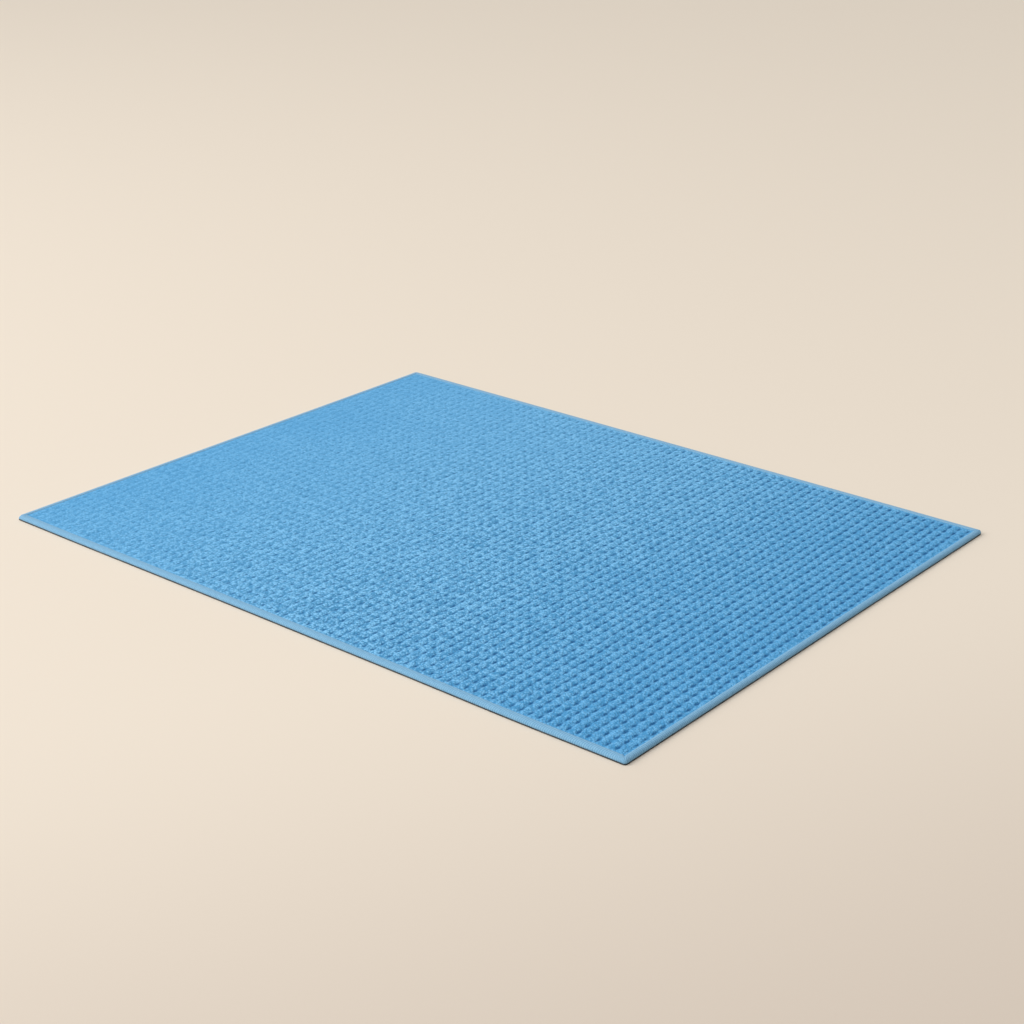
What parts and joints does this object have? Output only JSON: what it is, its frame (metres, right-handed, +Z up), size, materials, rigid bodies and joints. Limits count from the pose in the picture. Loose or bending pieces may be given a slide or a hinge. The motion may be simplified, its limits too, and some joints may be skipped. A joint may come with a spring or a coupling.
{
  "type": "seedling heat mat",
  "caption": "Flat rectangular heat mat with a waffle-textured cloth face, ribbed edge binding, dark rubber base, a looped heating wire on foil inside and a slim low-voltage inlet.",
  "frame": {"origin": "centre of the mat on the surface it lies on", "axes": "+X along the long side, +Y along the short side towards the edge with the inlet, +Z up out of the cloth face"},
  "size_m": [0.7, 0.55, 0.0045],
  "materials": {
    "face": "waffle-textured pile cloth, matt",
    "binding": "ribbed woven tape, matt",
    "thread": "twisted sewing thread",
    "base": "dark non-slip rubber, matt",
    "film": "clear polyethylene film",
    "foam": "closed-cell foam sheet",
    "carrier": "nonwoven cloth",
    "foil": "bright rolled foil",
    "resistance_wire": "drawn resistance alloy",
    "wire_cover": "silicone insulation",
    "cloth_tape": "glass-cloth adhesive tape",
    "lead": "black silicone insulation",
    "return_lead": "white silicone insulation",
    "sleeve": "heat-shrink sleeve",
    "copper": "tinned copper crimp",
    "housing": "moulded black polymer",
    "contact": "gilt brass pin",
    "potting": "cast epoxy",
    "nickel": "nickel strip",
    "bimetal": "rolled bimetal"
  },
  "bodies": {
    "root": {"base_sheet": "base", "lower_film": "film", "insulation_foam": "foam", "heating_wire_core": "resistance_wire", "heating_wire_cover": "wire_cover", "wire_strips": "cloth_tape", "heater_carrier": "carrier", "heat_spreader_foil": "foil", "upper_film": "film", "face_fabric": "face", "binding_front": "binding", "binding_back": "binding", "binding_left": "binding", "binding_right": "binding", "binding_stitching": "thread", "inlet_housing": "housing", "inlet_pins": "contact", "inlet_potting": "potting", "live_lead": "lead", "return_lead_lower": "return_lead", "return_lead_upper": "return_lead", "splice_ferrules": "copper", "splice_sleeves": "sleeve", "cutout_case": "housing", "cutout_lid": "housing", "cutout_disc": "bimetal", "cutout_tabs": "nickel"}
  },
  "joints": []
}
